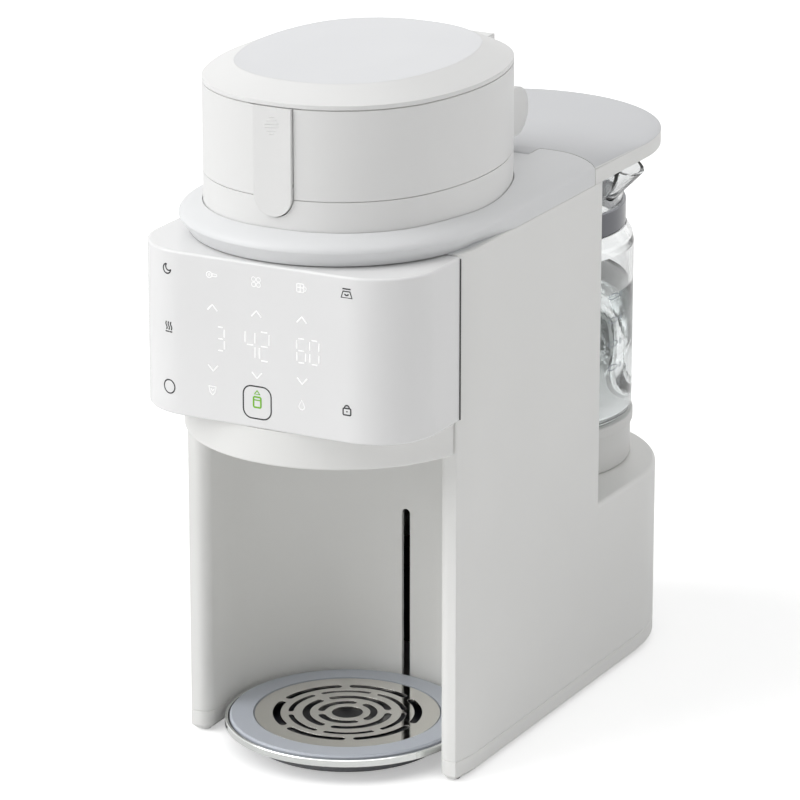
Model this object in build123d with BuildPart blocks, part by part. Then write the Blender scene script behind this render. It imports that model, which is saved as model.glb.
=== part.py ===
from build123d import *
import os
from math import acos, cos, degrees, pi, radians, sin, tan

# Baby formula maker: a stadium-shaped housing with a bottle bay in front, a powder canister on its
# deck and a glass kettle behind the column. Millimetres, +Z up, the front faces -Y. The origin is
# on the table, in the middle of the whole outline with the kettle's handle, so the housing's own
# middle plane stands at mid_x. The functions below measure x from that plane, and heights from the
# lowest plane of the drip tray, which hangs `stand` above the table.

# ---------------------------------------------------------------- driving dimensions
mid_x = 7.5
stand = 2.0
width = 180.0
length = 392.0
wall = 3.0
liner = 2.5                 # thinner inner walls and floors
skirt_wall = 4.0            # base wall that turns in round the bottle bay
gap = 0.5                   # between pieces that lift or swing
run = 0.08                  # radial clearance of a running fit
seat = 0.2                  # clearance of a piece that stands inside another
groove = 0.4                # small chamfer that draws each parting line

end_r = width / 2
end_y = length / 2 - end_r  # centre of each round end, fore and aft

foot_r = 2.8
foot_h = 1.0
under_z = foot_h - stand    # underside of the base pan
under_chamfer = 3.2
seam_z = 11.0               # base pan to side shells
platform_z = 112.0          # low rear base, where the kettle stands
deck_z = 310.4              # underside of the deck
rim_z = 318.9               # top of the deck's upright edge
top_z = 327.9               # flat of the crowned top
crown_w = 26.0              # width of the crown's curved shoulder
rim_tuck = 6.0              # how far the rim leans in under the front edge
tuck_end = -66.0            # where that lean has run out

wing_y = -130.0             # front faces of the two wings beside the bay
nose_r = 7.0                # rounding of each wing towards the bay
nose_edge = 0.8
bay_r = 75.0
bay_y = -101.5              # centre of the bay's round back
column_y = 46.1             # rear face of the column
slot_w = 5.4
slot_top = 117.3
rod_r = 3.0                 # guide rod of the drip tray
rod_y = 6.0
gland_z = 30.0              # hole for the mains lead, low at the back
gland_r = 6.0

head_z = 194.5              # underside of the dispenser head
head_r = 89.0
head_y = -104.5
head_back = -22.0
nozzle_y = -128.0
nozzle_hole = 6.0
panel_z = 215.0
panel_top = 309.7
panel_y = -193.5
panel_half = 88.5
panel_r = 36.0
panel_back = wing_y - gap

tray_y = -98.9              # drip tray, straight below the powder outlet
tray_r = 71.1
carriage_r = 57.0

oval_y = -82.5              # centre of the powder canister
oval_half_x = 80.0
oval_half_y = 98.0
oval_side_r = 146.0
oval_end_r = 600.0
oval_corner_r = 72.0
socket_z = 325.0            # floor of the canister's seat in the deck
band_top = 343.9
body_top = 394.9
body_wall = 2.5
lid_z = 395.5
lid_rim = 397.9
lid_top = 405.8
bevel_w = 18.0
plate_h = 3.2               # thickness of the plate let into the lid

seam_y = 36.5               # deck to rear lid
seam_gap = 0.9
tongue_half = 54.0
tongue_r = 4.0
tongue_axis = (25.5, top_z - tongue_r)
tongue_pin_r = 1.6
tongue_pin_half = 60.0

knuckle_r = 14.3            # canister lid's hinge
knuckle_axis = (15.0, 354.3)
knuckle_half = 50.0
knuckle_seat_z = 372.0
knuckle_pin_r = 2.5
knuckle_pin_half = 47.0     # the pin stops short of the knuckles' outer faces
arm_half = 34.0
arm_y = (9.5, 17.5)

latch_half = 11.8
latch_low = 345.5           # centre of the lever's round lower end
latch_top = 395.0
lever_y = (-182.0, -176.0)
latch_axis = (-178.5, 352.0)
latch_pin_r = 1.2
latch_pin_half = 13.4
latch_pocket_y = (-190.0, -171.5)
catch_half = 5.0
catch_z = (380.0, 396.8)

wheel_y = tray_y + 34.0     # the dosing wheel's pockets pass over the outlet
wheel_r = 46.0
wheel_gap = 0.4
wheel_low = socket_z + wall + 0.3
pocket_r = 10.5
pocket_ring = 34.0
outlet_r = 11.0
hub_r = 4.0
hex_r = 4.0
socket_bore = 9.0           # hole in the canister's floor round the drive hexagon
gear_teeth = 40
pinion_teeth = 16
module = 1.0
pressure_angle = radians(20)
backlash = 0.12
gear_z = 302.0
gear_h = 6.0
shelf_z = 298.0
motor_low = 262.0
motor_r = 14.0
spindle_r = 1.5
spindle_low = shelf_z - 8.0
pinion_y = wheel_y + module * (gear_teeth + pinion_teeth) / 2

kettle_y = 116.5
kettle_clear = 74.0         # the column's round hollow behind the kettle
kettle_top = 304.0
glass_r = 70.5
glass = 2.4
glass_z = 141.3
neck_r = 63.5
collar_z = (258.0, 273.3)
collar_r = 65.4
beak_x = 74.0
handle_x = -99.5
handle_z = (172.0, 266.0)

os.makedirs("parts", exist_ok=True)


# ---------------------------------------------------------------- planes and plain shapes
def level(height, y=0.0, x=0.0):
    """Horizontal plane at a height, x measured from the housing's middle plane."""
    return Plane(origin=(mid_x + x, y, height + stand))


def across(x=0.0, y=0.0):
    """Upright plane facing right: its own X runs to the rear and its own Y runs up."""
    return Plane(origin=(mid_x + x, y, stand), x_dir=(0, 1, 0), z_dir=(1, 0, 0))


def facing(y):
    """Upright plane facing the front: its own X runs right and its own Y runs up."""
    return Plane(origin=(mid_x, y, stand), x_dir=(1, 0, 0), z_dir=(0, -1, 0))


def block(x, y, z, mode=Mode.ADD):
    """Adds an upright block between its low and high limits."""
    with Locations((mid_x + sum(x) / 2, sum(y) / 2, sum(z) / 2 + stand)):
        Box(x[1] - x[0], y[1] - y[0], z[1] - z[0], mode=mode)


def disc(radius, z, y, x=0.0, mode=Mode.ADD):
    """Adds an upright cylinder between two heights."""
    with Locations((mid_x + x, y, sum(z) / 2 + stand)):
        Cylinder(radius, z[1] - z[0], mode=mode)


def bar(radius, x, axis, mode=Mode.ADD):
    """Adds a round bar along X between two limits, on an axis given as (y, z)."""
    with Locations(Location((mid_x + sum(x) / 2, axis[0], axis[1] + stand), (0, 90, 0))):
        Cylinder(radius, x[1] - x[0], mode=mode)


def turned(points, y, x=0.0, mode=Mode.ADD):
    """Adds a solid turned about an upright axis, from corner points (radius, height)."""
    with BuildSketch(across(x, y)) as half:
        with BuildLine():
            Polyline(*points, close=True)
        make_face()
    revolve(half.sketch, axis=Axis((mid_x + x, y, 0), (0, 0, 1)), mode=mode)


def stadium(inset=0.0, mode=Mode.ADD):
    """Adds the housing's outline to a sketch: two straight sides and two half circles."""
    Rectangle(width - 2 * inset, 2 * end_y, mode=mode)
    with Locations((0, end_y), (0, -end_y)):
        Circle(end_r - inset, mode=mode)


def keep_from(y):
    """Cuts away what a sketch has in front of y."""
    with Locations((0, y - length / 2)):
        Rectangle(2 * width, length, mode=Mode.SUBTRACT)


def keep_to(y):
    """Cuts away what a sketch has behind y."""
    with Locations((0, y + length / 2)):
        Rectangle(2 * width, length, mode=Mode.SUBTRACT)


def bay(grow=0.0, mode=Mode.SUBTRACT):
    """The bottle bay's outline: a round back and straight sides, open at the front."""
    with Locations((0, bay_y)):
        Circle(bay_r + grow, mode=mode)
    with Locations((0, bay_y - end_y / 2)):
        Rectangle(2 * (bay_r + grow), end_y, mode=mode)


def footprint(edge_r=0.0):
    """The plan of the base and wings: the stadium less the bay, with a rounded nose on each wing."""
    with BuildSketch() as plan:
        stadium()
        keep_from(wing_y)
        bay()
        fillet([v for v in plan.vertices().group_by(Axis.Y)[0] if abs(v.X) < bay_r + 1], nose_r)
        if edge_r:
            outer = [v for v in plan.vertices().group_by(Axis.Y)[0] if abs(v.X) > bay_r + nose_r + 1]
            fillet(outer, edge_r)
    return plan.sketch


def visor(inset=0.0):
    """The plan of the head's round front, which bulges out below the panel."""
    with BuildSketch() as plan:
        with Locations((0, head_y)):
            Circle(head_r - inset)
        keep_to(panel_back)
    return plan.sketch


def oval(inset=0.0):
    """The canister's outline: shallow front and rear arcs, rounder sides and soft corners."""
    with BuildSketch() as outline:
        with Locations((0, oval_half_y - oval_end_r)):
            Circle(oval_end_r - inset)
        with Locations((0, oval_end_r - oval_half_y)):
            Circle(oval_end_r - inset, mode=Mode.INTERSECT)
        for side in (-1, 1):
            with Locations((side * (oval_side_r - oval_half_x), 0)):
                Circle(oval_side_r - inset, mode=Mode.INTERSECT)
        fillet(outline.vertices(), oval_corner_r - inset)
    return outline.sketch


def oval_slab(z, inset=0.0, hole_inset=None, mode=Mode.ADD):
    """Adds an oval plate between two heights, or an oval ring if hole_inset is given."""
    with BuildSketch(level(z[0], oval_y)) as plate:
        add(oval(inset))
        if hole_inset is not None:
            add(oval(hole_inset), mode=Mode.SUBTRACT)
    extrude(plate.sketch, amount=z[1] - z[0], mode=mode)


def oval_patch(z, x, y, inset=0.1):
    """Adds the part of an oval plate that lies between limits in x and y."""
    with BuildSketch(level(z[0], oval_y)) as patch:
        add(oval(inset))
        with Locations((sum(x) / 2, sum(y) / 2 - oval_y)):
            Rectangle(x[1] - x[0], y[1] - y[0], mode=Mode.INTERSECT)
    extrude(patch.sketch, amount=z[1] - z[0])


# ---------------------------------------------------------------- base, shells and column
with BuildSketch(level(under_z)) as skirt_plan:
    bay(skirt_wall, mode=Mode.ADD)
    keep_from(wing_y + nose_r)

with BuildPart() as base_block:
    with BuildSketch(level(under_z)):
        add(footprint())
    extrude(amount=seam_z - under_z)
    chamfer(base_block.faces().sort_by(Axis.Z)[0].edges(), under_chamfer)
    chamfer(base_block.faces().sort_by(Axis.Z)[-1].outer_wire().edges(), groove)

with BuildPart() as base_pan:
    add(base_block.part)
    extrude(skirt_plan.sketch, amount=seam_z - under_z, mode=Mode.SUBTRACT)
    with BuildSketch(level(under_z + liner)):
        stadium(wall)
        keep_from(wing_y + nose_r)
    extrude(amount=seam_z, mode=Mode.SUBTRACT)
    # Way through for the drip tray's arm, and a boss for its guide rod.
    block((-slot_w / 2, slot_w / 2), (bay_y + bay_r, rod_y - 8), (under_z, seam_z), Mode.SUBTRACT)
    disc(rod_r + 5, (under_z, 9.0), rod_y)
    disc(rod_r, (under_z + liner, 9.0), rod_y, mode=Mode.SUBTRACT)
base_pan.part.label = "base_pan"
export_step(base_pan.part, "parts/base_pan.step")


def skirt_half(side):
    """Adds the base's wall round one side of the bay, up to the slot for the drip tray's arm."""
    add(base_block.part)
    extrude(skirt_plan.sketch, amount=seam_z - under_z, mode=Mode.INTERSECT)
    block(sorted((side * slot_w / 2, side * end_r)), (wing_y, 0), (under_z, seam_z), Mode.INTERSECT)


with BuildPart() as left_bay_skirt:
    skirt_half(-1)
left_bay_skirt.part.label = "left_bay_skirt"
export_step(left_bay_skirt.part, "parts/left_bay_skirt.step")

with BuildPart() as right_bay_skirt:
    skirt_half(1)
right_bay_skirt.part.label = "right_bay_skirt"
export_step(right_bay_skirt.part, "parts/right_bay_skirt.step")

foot_spots = [(-82, -121), (82, -121), (-70, 0), (70, 0), (-55, 150), (55, 150)]
with BuildPart() as rubber_feet:
    with BuildSketch(level(-stand)):
        with Locations(*foot_spots):
            Circle(foot_r)
    extrude(amount=foot_h)
rubber_feet.part.label = "rubber_feet"
export_step(rubber_feet.part, "parts/rubber_feet.step")

platform_round = 2.5
with BuildPart() as housing:
    with BuildSketch(level(seam_z)):
        add(footprint(nose_edge))
    extrude(amount=platform_z - seam_z)
    chamfer(housing.faces().sort_by(Axis.Z)[0].outer_wire().edges(), groove)
    with BuildSketch(level(platform_z)):
        add(footprint(nose_edge))
        keep_to(column_y)
    extrude(amount=head_z - platform_z)
    edges = housing.edges().filter_by_position(Axis.Z, platform_z + stand, platform_z + stand)
    fillet(edges.filter_by_position(Axis.Y, column_y + 1, length), platform_round)
    with BuildSketch(level(head_z)) as upper:
        stadium()
        keep_from(wing_y)
        keep_to(column_y)
        fillet(upper.vertices().group_by(Axis.Y)[0], nose_edge)
    extrude(amount=deck_z - head_z)
    chamfer(housing.faces().sort_by(Axis.Z)[-1].outer_wire().edges(), groove)
    # Hollows of the low base, of the column and, open to the front, of the head.
    with BuildSketch(level(seam_z)):
        stadium(wall)
        keep_from(wing_y + nose_r)
    extrude(amount=platform_z - wall - seam_z, mode=Mode.SUBTRACT)
    with BuildSketch(level(platform_z - wall)):
        stadium(wall)
        keep_from(wing_y + nose_r)
        keep_to(column_y)
    extrude(amount=head_z, mode=Mode.SUBTRACT)
    with BuildSketch(level(head_z)):
        stadium(wall)
        keep_to(column_y)
    extrude(amount=deck_z, mode=Mode.SUBTRACT)
    # Round hole at the rear seam for the mains lead.
    with BuildSketch(facing(length / 2 + wall)):
        with Locations((0, gland_z)):
            Circle(gland_r)
    extrude(amount=3 * wall, mode=Mode.SUBTRACT)

with BuildPart() as left_side_shell:
    add(housing.part)
    split(bisect_by=across(), keep=Keep.BOTTOM)
left_side_shell.part.label = "left_side_shell"
export_step(left_side_shell.part, "parts/left_side_shell.step")

with BuildPart() as right_side_shell:
    add(housing.part)
    split(bisect_by=across(), keep=Keep.TOP)
right_side_shell.part.label = "right_side_shell"
export_step(right_side_shell.part, "parts/right_side_shell.step")

column_wall = 10.0
with BuildPart() as column_back:
    block((wall - end_r, end_r - wall), (column_y - column_wall, column_y), (platform_z, deck_z))
    disc(kettle_clear, (platform_z, deck_z), kettle_y, mode=Mode.SUBTRACT)
column_back.part.label = "column_back"
export_step(column_back.part, "parts/column_back.step")

with BuildPart() as bay_liner:
    with BuildSketch(level(seam_z)):
        bay(liner, mode=Mode.ADD)
        keep_from(wing_y + nose_r)
        bay()
    extrude(amount=head_z - seam_z)
    with BuildSketch(facing(bay_y)):
        with Locations((0, (slot_top - slot_w / 2) / 2)):
            Rectangle(slot_w, slot_top - slot_w / 2)
        with Locations((0, slot_top - slot_w / 2)):
            Circle(slot_w / 2)
    extrude(amount=-bay_r - 2 * liner, mode=Mode.SUBTRACT)
bay_liner.part.label = "bay_liner"
export_step(bay_liner.part, "parts/bay_liner.step")

rod_top = 150.0
with BuildPart() as tray_guide_rod:
    disc(rod_r, (under_z + liner, rod_top), rod_y)
tray_guide_rod.part.label = "tray_guide_rod"
export_step(tray_guide_rod.part, "parts/tray_guide_rod.step")

lead_r = 3.2
with BuildPart() as cord_gland:
    with BuildSketch(facing(length / 2)):
        with Locations((0, gland_z)):
            Circle(gland_r)
            Circle(lead_r, mode=Mode.SUBTRACT)
    extrude(amount=2 * wall)
    with BuildSketch(facing(length / 2 - wall - 1.0)):
        with Locations((0, gland_z)):
            Circle(gland_r + wall)
            Circle(lead_r, mode=Mode.SUBTRACT)
    extrude(amount=wall)
cord_gland.part.label = "cord_gland"
export_step(cord_gland.part, "parts/cord_gland.step")

pump_x = -40.0
pump_y = 70.0
port_step = 7.0
with BuildPart() as water_pump:
    disc(20.0, (under_z + liner, 48), pump_y, pump_x)
    disc(14.0, (48, 60), pump_y, pump_x)
    for port_y in (pump_y - port_step, pump_y + port_step):
        disc(3.0, (60, 70), port_y, pump_x)
water_pump.part.label = "water_pump"
export_step(water_pump.part, "parts/water_pump.step")

board = 1.6
main_board_y = column_y - column_wall - board
chip_spots = [(-25, 200), (20, 240), (30, 205)]
with BuildPart() as main_board:
    block((-50, 50), (main_board_y, main_board_y + board), (180, 280))
    for chip_x, chip_z in chip_spots:
        block((chip_x - 8, chip_x + 8), (main_board_y - 6, main_board_y), (chip_z - 6, chip_z + 6))
main_board.part.label = "main_board"
export_step(main_board.part, "parts/main_board.step")

# ---------------------------------------------------------------- head and control panel
head_round = 1.5
with BuildPart() as dispenser_head:
    with BuildSketch(level(head_z)):
        stadium(wall + seat)
        keep_from(panel_back)
        keep_to(head_back)
        add(visor())
    extrude(amount=panel_z - head_z)
    under_edges = dispenser_head.faces().sort_by(Axis.Z)[0].edges().filter_by(GeomType.CIRCLE)
    fillet(under_edges.filter_by_position(Axis.Y, panel_y - 1, panel_back - 1), head_round)
    with BuildSketch(level(head_z + wall)):
        stadium(2 * wall + seat)
        keep_from(panel_back - wall)
        keep_to(head_back - wall)
        add(visor(wall))
    extrude(amount=panel_z, mode=Mode.SUBTRACT)
    disc(outlet_r, (head_z, panel_z), tray_y, mode=Mode.SUBTRACT)
    disc(nozzle_hole, (head_z, panel_z), nozzle_y, mode=Mode.SUBTRACT)
dispenser_head.part.label = "dispenser_head"
export_step(dispenser_head.part, "parts/dispenser_head.step")

chute_tip = 187.0
chute_bore = 8.5
funnel_r = 16.0
with BuildPart() as powder_chute:
    turned([(chute_bore, chute_tip), (outlet_r, chute_tip), (outlet_r, 310), (funnel_r, 316),
            (funnel_r, 321), (funnel_r - 2, 321), (funnel_r - 2, 317), (chute_bore, 310)], tray_y)
powder_chute.part.label = "powder_chute"
export_step(powder_chute.part, "parts/powder_chute.step")

nozzle_bore = 3.5
with BuildPart() as water_nozzle:
    turned([(nozzle_bore, 184), (4.5, 184), (nozzle_hole, 189), (nozzle_hole, head_z + wall),
            (9, head_z + wall), (9, 200), (5, 200), (5, 210), (nozzle_bore, 210)], nozzle_y)
water_nozzle.part.label = "water_nozzle"
export_step(water_nozzle.part, "parts/water_nozzle.step")

panel_round = 1.5
panel_mid = (panel_y + panel_back) / 2
panel_depth = panel_back - panel_y
with BuildPart() as control_panel:
    with BuildSketch(level(panel_z)) as plan:
        with Locations((0, panel_mid)):
            Rectangle(2 * panel_half, panel_depth)
        fillet(plan.vertices().group_by(Axis.Y)[0], panel_r)
    extrude(amount=panel_top - panel_z)
    rims = control_panel.edges().filter_by(Plane.XY)
    fillet(rims.filter_by_position(Axis.Y, panel_y - 1, panel_back - 1), panel_round)
    with BuildSketch(level(panel_z + wall)) as hollow:
        with Locations((0, panel_mid + wall / 2)):
            Rectangle(2 * (panel_half - wall), panel_depth - wall)
        fillet(hollow.vertices().group_by(Axis.Y)[0], panel_r - wall)
    extrude(amount=panel_top - panel_z - 2 * wall, mode=Mode.SUBTRACT)
control_panel.part.label = "control_panel"
export_step(control_panel.part, "parts/control_panel.step")

board_y = panel_y + wall
with BuildPart() as display_board:
    block((-50, 50), (board_y, board_y + board), (222, 298))
    block((-32, 32), (board_y + board, board_y + 5), (248, 274))
display_board.part.label = "display_board"
export_step(display_board.part, "parts/display_board.step")


# ---------------------------------------------------------------- deck and rear lid
def half_section(tuck):
    """Right half of the crowned slab's cross-section, its rim leaning in by tuck at the foot."""
    with BuildSketch() as section:
        with BuildLine():
            Polyline((end_r - crown_w, top_z), (0, top_z), (0, deck_z), (end_r - tuck, deck_z),
                     (end_r, rim_z))
            EllipticalCenterArc((end_r - crown_w, rim_z), crown_w, top_z - rim_z, arc_size=90)
        make_face()
    return section.sketch


def whole_section(tuck, y):
    """The crowned slab's full cross-section, standing across the housing at y."""
    half = half_section(tuck)
    with BuildSketch(facing(y)) as section:
        add(half)
        add(mirror(half, about=Plane.YZ, mode=Mode.PRIVATE))
    return section.sketch


def crowned_slab():
    """Adds the whole top: round ends, straight middle and an upright, partly leaning rim."""
    middle = whole_section(0, tuck_end)
    extrude(middle, amount=-(end_y - tuck_end))
    loft([whole_section(rim_tuck, -end_y), middle])
    for y, tuck, turn in ((-end_y, rim_tuck, -180), (end_y, 0, 180)):
        with BuildSketch(facing(y)) as half:
            add(half_section(tuck))
        revolve(half.sketch, axis=Axis((mid_x, y, 0), (0, 0, 1)), revolution_arc=turn)


deck_rim = 8.0 + rim_tuck
deck_floor = 4.0
with BuildPart() as front_deck:
    crowned_slab()
    # Rear seam, hollow underside, seat of the canister and rear lid's hinge pocket.
    block((-end_r - 1, end_r + 1), (seam_y - seam_gap / 2, length), (0, 2 * top_z), Mode.SUBTRACT)
    with BuildSketch(level(deck_z)):
        stadium(deck_rim)
        keep_to(12.0)
    extrude(amount=socket_z - deck_floor - deck_z, mode=Mode.SUBTRACT)
    oval_slab((socket_z, 2 * top_z), inset=-gap, mode=Mode.SUBTRACT)
    block((-tongue_half - gap, tongue_half + gap), (tongue_axis[0] - tongue_r - gap, seam_y),
          (tongue_axis[1] - tongue_r - gap, top_z), Mode.SUBTRACT)
    bar(tongue_pin_r, (-tongue_pin_half, tongue_pin_half), tongue_axis, Mode.SUBTRACT)
    disc(outlet_r + 1.0, (deck_z, top_z), tray_y, mode=Mode.SUBTRACT)
    disc(socket_bore, (deck_z, top_z), wheel_y, mode=Mode.SUBTRACT)
    # Skirt between the walls, which closes the top of the housing where the rim leans in.
    with BuildSketch(level(deck_z)):
        stadium(wall + seat)
        keep_from(wing_y)
        keep_to(tuck_end + 10)
        stadium(deck_rim, mode=Mode.SUBTRACT)
    extrude(amount=-wall)
front_deck.part.label = "front_deck"
export_step(front_deck.part, "parts/front_deck.step")

lid_shell = 4.0
with BuildPart() as rear_lid:
    crowned_slab()
    block((-end_r - 1, end_r + 1), (-length, seam_y + seam_gap / 2), (0, 2 * top_z), Mode.SUBTRACT)
    block((-tongue_half, tongue_half), (tongue_axis[0], seam_y + seam_gap),
          (tongue_axis[1] - tongue_r, top_z))
    bar(tongue_r, (-tongue_half, tongue_half), tongue_axis)
    bar(tongue_pin_r + run, (-tongue_half, tongue_half), tongue_axis, Mode.SUBTRACT)
    with BuildSketch(level(deck_z)):
        stadium(lid_shell)
        keep_from(seam_y + seam_gap / 2 + lid_shell)
    extrude(amount=rim_z - deck_z, mode=Mode.SUBTRACT)
rear_lid.part.label = "rear_lid"
export_step(rear_lid.part, "parts/rear_lid.step")

with BuildPart() as rear_lid_liner:
    with BuildSketch(level(deck_z)):
        stadium(lid_shell)
        keep_from(seam_y + seam_gap / 2 + lid_shell)
    extrude(amount=liner)
rear_lid_liner.part.label = "rear_lid_liner"
export_step(rear_lid_liner.part, "parts/rear_lid_liner.step")

with BuildPart() as rear_lid_pin:
    bar(tongue_pin_r, (-tongue_pin_half, tongue_pin_half), tongue_axis)
rear_lid_pin.part.label = "rear_lid_pin"
export_step(rear_lid_pin.part, "parts/rear_lid_pin.step")

# ---------------------------------------------------------------- powder canister
knuckle_wall = 3.0
latch_wall = 4.0
hinge_seat_x = (-knuckle_half - knuckle_wall, knuckle_half + knuckle_wall)
latch_seat_x = (-latch_half - latch_wall, latch_half + latch_wall)
latch_seat_y = (latch_pocket_y[0], latch_pocket_y[1] + liner)
hinge_seat_front = -3.0
hinge_seat_y = (hinge_seat_front, 20.0)
latch_front = latch_pocket_y[1] - 12.5


def latch_recess():
    """Cuts the round lower end of the latch lever's pocket."""
    with BuildSketch(facing(latch_front)) as recess:
        with Locations((0, latch_low)):
            Circle(latch_half + gap)
    extrude(recess.sketch, amount=latch_front - latch_pocket_y[1], mode=Mode.SUBTRACT)


with BuildPart() as canister_band:
    oval_slab((socket_z, socket_z + wall))
    oval_slab((socket_z, band_top), hole_inset=wall)
    disc(wheel_r + wheel_gap + liner, (socket_z, band_top), wheel_y)
    oval_patch((socket_z, band_top), hinge_seat_x, hinge_seat_y)
    oval_patch((socket_z, band_top), latch_seat_x, latch_seat_y)
    disc(wheel_r + wheel_gap, (socket_z + wall, band_top), wheel_y, mode=Mode.SUBTRACT)
    disc(socket_bore, (socket_z, band_top), wheel_y, mode=Mode.SUBTRACT)
    disc(outlet_r, (socket_z, band_top), tray_y, mode=Mode.SUBTRACT)
    bar(knuckle_r + gap, (-knuckle_half - gap, knuckle_half + gap), knuckle_axis, Mode.SUBTRACT)
    latch_recess()
canister_band.part.label = "canister_band"
export_step(canister_band.part, "parts/canister_band.step")

with BuildPart() as hopper_floor:
    oval_slab((band_top, band_top + liner), inset=body_wall)
    disc(hub_r + run, (band_top, body_top), wheel_y, mode=Mode.SUBTRACT)
    disc(outlet_r, (band_top, body_top), wheel_y + pocket_ring, mode=Mode.SUBTRACT)
    block(hinge_seat_x, (hinge_seat_front, 40), (band_top, body_top), Mode.SUBTRACT)
    block(latch_seat_x, latch_seat_y, (band_top, body_top), Mode.SUBTRACT)
hopper_floor.part.label = "hopper_floor"
export_step(hopper_floor.part, "parts/hopper_floor.step")

recess_back = 30.0
with BuildPart() as canister_body:
    # The wall stands on a slightly smaller foot, which draws the parting line over the band.
    oval_slab((band_top, band_top + groove), inset=2 * groove, hole_inset=body_wall)
    oval_slab((band_top + groove, body_top), hole_inset=body_wall)
    # Solid seat round the hinge, with a recess for the lid's arm above it.
    oval_patch((band_top, knuckle_seat_z), hinge_seat_x, hinge_seat_y, inset=2 * groove)
    oval_patch((knuckle_seat_z, body_top), (-arm_half - wall, arm_half + wall),
               (arm_y[0] - gap - liner, hinge_seat_y[1]))
    block((-arm_half - gap, arm_half + gap), (arm_y[0] - gap, recess_back),
          (knuckle_axis[1], body_top), Mode.SUBTRACT)
    bar(knuckle_r + gap, (-arm_half - gap, arm_half + gap), knuckle_axis, Mode.SUBTRACT)
    for side in (-1, 1):
        bar(knuckle_r, sorted((side * (arm_half + gap), side * knuckle_half)), knuckle_axis)
    bar(knuckle_pin_r, (-knuckle_pin_half, knuckle_pin_half), knuckle_axis, Mode.SUBTRACT)
    # Pocket of the latch lever.
    oval_patch((band_top, body_top), latch_seat_x, latch_seat_y, inset=2 * groove)
    block((-latch_half - gap, latch_half + gap), latch_pocket_y, (latch_low, body_top), Mode.SUBTRACT)
    latch_recess()
    bar(latch_pin_r, (-latch_pin_half, latch_pin_half), latch_axis, Mode.SUBTRACT)
canister_body.part.label = "canister_body"
export_step(canister_body.part, "parts/canister_body.step")

gasket_inset = 0.6
with BuildPart() as canister_gasket:
    oval_slab((body_top, body_top + 0.4), inset=gasket_inset, hole_inset=body_wall)
    block((-arm_half - wall, arm_half + wall), (6, recess_back), (body_top, lid_z), Mode.SUBTRACT)
    block(latch_seat_x, latch_seat_y, (body_top, lid_z), Mode.SUBTRACT)
canister_gasket.part.label = "canister_gasket"
export_step(canister_gasket.part, "parts/canister_gasket.step")

with BuildPart() as canister_hinge_pin:
    bar(knuckle_pin_r, (-knuckle_pin_half, knuckle_pin_half), knuckle_axis)
canister_hinge_pin.part.label = "canister_hinge_pin"
export_step(canister_hinge_pin.part, "parts/canister_hinge_pin.step")

plate_z = lid_top - plate_h
catch_room = 1.0
with BuildPart() as canister_lid:
    oval_slab((lid_z, lid_rim))
    with BuildSketch(level(lid_rim, oval_y)):
        add(oval())
    with BuildSketch(level(lid_top, oval_y)):
        add(oval(bevel_w))
    loft()
    with BuildSketch(level(lid_z, oval_y)):
        add(oval(body_wall))
    with BuildSketch(level(plate_z, oval_y)):
        add(oval(bevel_w))
    loft(mode=Mode.SUBTRACT)
    oval_slab((plate_z - groove, 2 * lid_top), inset=bevel_w, mode=Mode.SUBTRACT)
    block((-arm_half, arm_half), arm_y, (knuckle_axis[1], lid_rim))
    bar(knuckle_r, (-arm_half, arm_half), knuckle_axis)
    bar(knuckle_pin_r + run, (-arm_half, arm_half), knuckle_axis, Mode.SUBTRACT)
    block((-catch_half - catch_room, catch_half + catch_room), (lever_y[1] - 1.5, lever_y[1] + 5),
          (lid_z, catch_z[1] + catch_room), Mode.SUBTRACT)
canister_lid.part.label = "canister_lid"
export_step(canister_lid.part, "parts/canister_lid.step")

crown_inset = 30.0
with BuildPart() as lid_plate:
    oval_slab((plate_z, lid_top), inset=bevel_w)
    with BuildSketch(level(lid_top, oval_y)):
        add(oval(bevel_w + groove))
    with BuildSketch(level(lid_top + 2 * groove, oval_y)):
        add(oval(bevel_w + crown_inset))
    loft()
lid_plate.part.label = "lid_plate"
export_step(lid_plate.part, "parts/lid_plate.step")

liner_inset = body_wall + 3.6
with BuildPart() as lid_liner:
    oval_slab((lid_z, lid_z + 1.5), inset=liner_inset)
    block((-arm_half - wall, arm_half + wall), (6, recess_back), (lid_z, lid_top), Mode.SUBTRACT)
    block((-catch_half - 2, catch_half + 2), (-190, lever_y[1] + 6), (lid_z, lid_top), Mode.SUBTRACT)
lid_liner.part.label = "lid_liner"
export_step(lid_liner.part, "parts/lid_liner.step")

catch_y = lever_y[1] + 1.5
with BuildPart() as latch_lever:
    with BuildSketch(facing(lever_y[0])):
        with Locations((0, (latch_low + latch_top) / 2)):
            Rectangle(2 * latch_half, latch_top - latch_low)
        with Locations((0, latch_low)):
            Circle(latch_half)
    extrude(amount=lever_y[0] - lever_y[1])
    # Tongue that reaches up into the lid, on a thicker foot.
    block((-catch_half, catch_half), (lever_y[1], catch_y), catch_z)
    block((-catch_half, catch_half), (lever_y[1] - 1, catch_y), (catch_z[0], catch_z[0] + 8))
    bar(latch_pin_r + run, (-latch_half, latch_half), latch_axis, Mode.SUBTRACT)
latch_lever.part.label = "latch_lever"
export_step(latch_lever.part, "parts/latch_lever.step")

with BuildPart() as latch_pin:
    bar(latch_pin_r, (-latch_pin_half, latch_pin_half), latch_axis)
latch_pin.part.label = "latch_pin"
export_step(latch_pin.part, "parts/latch_pin.step")

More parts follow.
